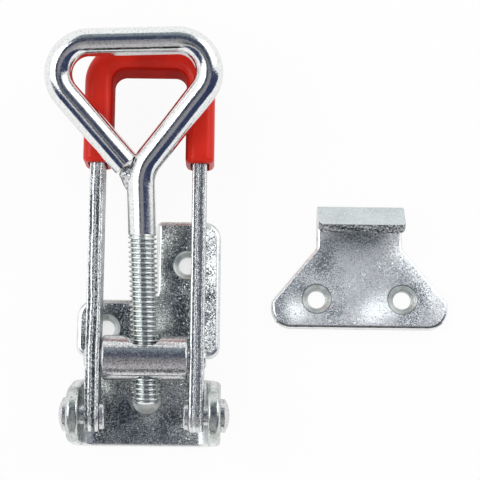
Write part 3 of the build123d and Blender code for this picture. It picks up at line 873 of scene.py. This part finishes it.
def makeFloor(look):
    # the camera sees mostly a white glow and mirror rays a share of it; to every other
    # ray the floor is plain pale matt
    half = look["size"] / 2
    corner = np.array([(-half, -half, 0), (half, -half, 0), (half, half, 0), (-half, half, 0)], float)
    floor = putMesh("paleFloor", corner, [(0, 1, 2, 3)], smooth=False)
    material = bpy.data.materials.new("paleFloor")
    material.use_nodes = True
    tree = material.node_tree
    tree.nodes.clear()
    matt = addNode(tree, "ShaderNodeBsdfDiffuse", {"Color": (look["grey"],) * 3 + (1,)})
    glow = addNode(tree, "ShaderNodeEmission", {"Color": (1, 1, 1, 1), "Strength": look["glow"]})
    rays = tree.nodes.new("ShaderNodeLightPath").outputs
    level = flattened(tree, tree.nodes.new("ShaderNodeTexCoord").outputs["Object"])
    inner, outer = (reach * mm for reach in look["shade"])
    seen = look["seenShare"]
    # painted shade: round the base plate's holes less glow is seen, so the matt floor's shadow shows
    for x, y in holePlaces:
        if x < look["baseEnd"]:
            least = look["underShare"] if x else look["slotShare"]
            seen = mathNode(tree, "MINIMUM", seen,
                            remap(tree, fromLine(tree, level, x, y), inner, outer, least, look["seenShare"]))
    share = mathNode(tree, "MAXIMUM", mathNode(tree, "MULTIPLY", rays["Is Camera Ray"], seen),
                     mathNode(tree, "MULTIPLY", rays["Is Glossy Ray"], look["mirrorShare"]))
    mix = addNode(tree, "ShaderNodeMixShader", None, {0: share, 1: matt.outputs[0], 2: glow.outputs[0]})
    addNode(tree, "ShaderNodeOutputMaterial", None, {"Surface": mix.outputs[0]})
    floor.data.materials.append(material)


makeFloor(floorLook)

# panels of the room as mirrors see it: their low and high tilt in degrees from straight up,
# along Y and across X, and how softly their edges fade
studio = {
    "roomLight": 0.80,          # what matt surfaces receive from all round
    "white": (0.96, 0.97, 0.98), "soft": 3,
    "ceiling": (0.048, 0.060, 0.100), "ceilingAlong": (-6, 54), "ceilingAcross": (21, 31),
    "ceilingFar": (0.21, 0.25, 0.28), "farAlong": (20, 36),
    "nearPale": (0.50, 0.48, 0.49), "nearGrey": (0.20, 0.20, 0.225),
    "nearAlong": (-68, -6), "nearAcross": (-16, 24), "nearFade": (-46, -6),
    "cornerDark": (0.030, 0.042, 0.100),
    "leftAlong": (-62, -16), "leftAcross": (-66, -20), "leftSoft": 6,
    "rightAlong": (-66, 0), "rightAcross": (20, 88),
    "lineDark": (0.02, 0.02, 0.02),
    "lineAlong": (-88, -66), "lineSoft": 1.2, "lineAcross": (34, 48),
    "sliverAlong": (-40, -3), "sliverAcross": (-15, -7), "sliverSoft": 1.5,
}


def makeStudio(look):
    # Matt surfaces get an even white room. Mirror-like ones see a white tent with a dark
    # overhead gap that runs along Y and grows paler to the rear, grey towards the front,
    # two dark corners, a dark line low down at the front and a thin one beside the gap.
    # The tilt of a ray is the arctangent of its Y or X over its Z, in degrees.
    world = bpy.data.worlds.new("studio")
    bpy.context.scene.world = world
    world.use_nodes = True
    tree = world.node_tree
    tree.nodes.clear()
    parts = splitVector(tree, tree.nodes.new("ShaderNodeTexCoord").outputs["Generated"])
    degrees = 180 / math.pi
    tiltY = mathNode(tree, "MULTIPLY", mathNode(tree, "ARCTAN2", parts[1], parts[2]), degrees)
    tiltX = mathNode(tree, "MULTIPLY", mathNode(tree, "ARCTAN2", parts[0], parts[2]), degrees)
    across = mathNode(tree, "ABSOLUTE", tiltX)

    def between(value, limits, soft):
        low, high = limits
        rising = remap(tree, value, low - soft, low + soft, smooth=True)
        falling = remap(tree, value, high - soft, high + soft, 1.0, 0.0, smooth=True)
        return mathNode(tree, "MULTIPLY", rising, falling)

    def panel(name, softAlong, softAcross):
        return mathNode(tree, "MULTIPLY", between(tiltY, look[name + "Along"], softAlong),
                        between(tiltX, look[name + "Across"], softAcross))

    def band(name, softAlong):
        # the same on both sides of the middle
        return mathNode(tree, "MULTIPLY", between(tiltY, look[name + "Along"], softAlong),
                        remap(tree, across, *look[name + "Across"], 1.0, 0.0, smooth=True))

    soft = look["soft"]
    ceiling = blendColours(tree, remap(tree, tiltY, *look["farAlong"]), look["ceiling"], look["ceilingFar"])
    near = blendColours(tree, remap(tree, tiltY, *look["nearFade"]), look["nearPale"], look["nearGrey"])
    corners = mathNode(tree, "MAXIMUM", panel("left", look["leftSoft"], look["leftSoft"]), panel("right", soft, soft))
    lines = mathNode(tree, "MAXIMUM", band("line", look["lineSoft"]), panel("sliver", soft, look["sliverSoft"]))
    colour = blendColours(tree, panel("near", soft, soft), look["white"], near)
    colour = blendColours(tree, corners, colour, look["cornerDark"])
    colour = blendColours(tree, band("ceiling", soft), colour, ceiling)
    colour = blendColours(tree, lines, colour, look["lineDark"])
    rays = tree.nodes.new("ShaderNodeLightPath").outputs
    mirror = addNode(tree, "ShaderNodeBackground", {"Strength": 1.0}, {"Color": colour})
    room = addNode(tree, "ShaderNodeBackground", {"Color": (1, 1, 1, 1), "Strength": look["roomLight"]})
    white = addNode(tree, "ShaderNodeBackground", {"Color": (1, 1, 1, 1), "Strength": 1.0})
    inner = addNode(tree, "ShaderNodeMixShader", None,
                    {0: rays["Is Glossy Ray"], 1: room.outputs[0], 2: mirror.outputs[0]})
    outer = addNode(tree, "ShaderNodeMixShader", None,
                    {0: rays["Is Camera Ray"], 1: inner.outputs[0], 2: white.outputs[0]})
    addNode(tree, "ShaderNodeOutputWorld", None, {"Surface": outer.outputs[0]})


makeStudio(studio)

lamps = {                       # places and sizes in millimetres, power in watts
    "leftBox": {"at": (-420, 120, 520), "size": 420, "power": 1.1},
    "rightBox": {"at": (430, 345, 400), "size": 380, "power": 0.7},
}
lampAim = np.array([10.0, 35.0, 8.0])
for name, look in lamps.items():
    light = bpy.data.lights.new(name, "AREA")
    light.size = look["size"] * mm
    light.energy = look["power"]
    lamp = bpy.data.objects.new(name, light)
    lamp.location = Vector(look["at"]) * mm
    lamp.rotation_euler = Vector(lampAim - np.array(look["at"])).to_track_quat("-Z", "Y").to_euler()
    bpy.context.scene.collection.objects.link(lamp)
print("studio ready")

# camera
shot = {
    "target": (19.411, 38.798, 0.0), "distance": 346.295,
    "elevation": 80.372, "azimuth": -2.558, "roll": 3.214,
    "focal": 1594.07, "frame": 480,      # focal length in pixels of a picture this wide
    "nearClip": 10,
}
elevation, azimuth, roll = (math.radians(shot[key]) for key in ("elevation", "azimuth", "roll"))
outward = math.cos(elevation)
back = np.array([math.sin(azimuth) * outward, -math.cos(azimuth) * outward, math.sin(elevation)])
level = np.cross(-back, [0, 0, 1])
level /= np.linalg.norm(level)
above = np.cross(level, -back)
right = level * math.cos(roll) + above * math.sin(roll)
up = -level * math.sin(roll) + above * math.cos(roll)
lens = bpy.data.cameras.new("camera")
lens.lens = lens.sensor_width * shot["focal"] / shot["frame"]
lens.clip_start = shot["nearClip"] * mm
camera = bpy.data.objects.new("camera", lens)
place = (np.array(shot["target"]) + shot["distance"] * back) * mm
pose = np.eye(4)
pose[:3] = np.column_stack([right, up, back, place])
camera.matrix_world = Matrix(pose.tolist())
bpy.context.scene.collection.objects.link(camera)
bpy.context.scene.camera = camera
bpy.context.scene.view_settings.view_transform = "Standard"
print("camera ready")
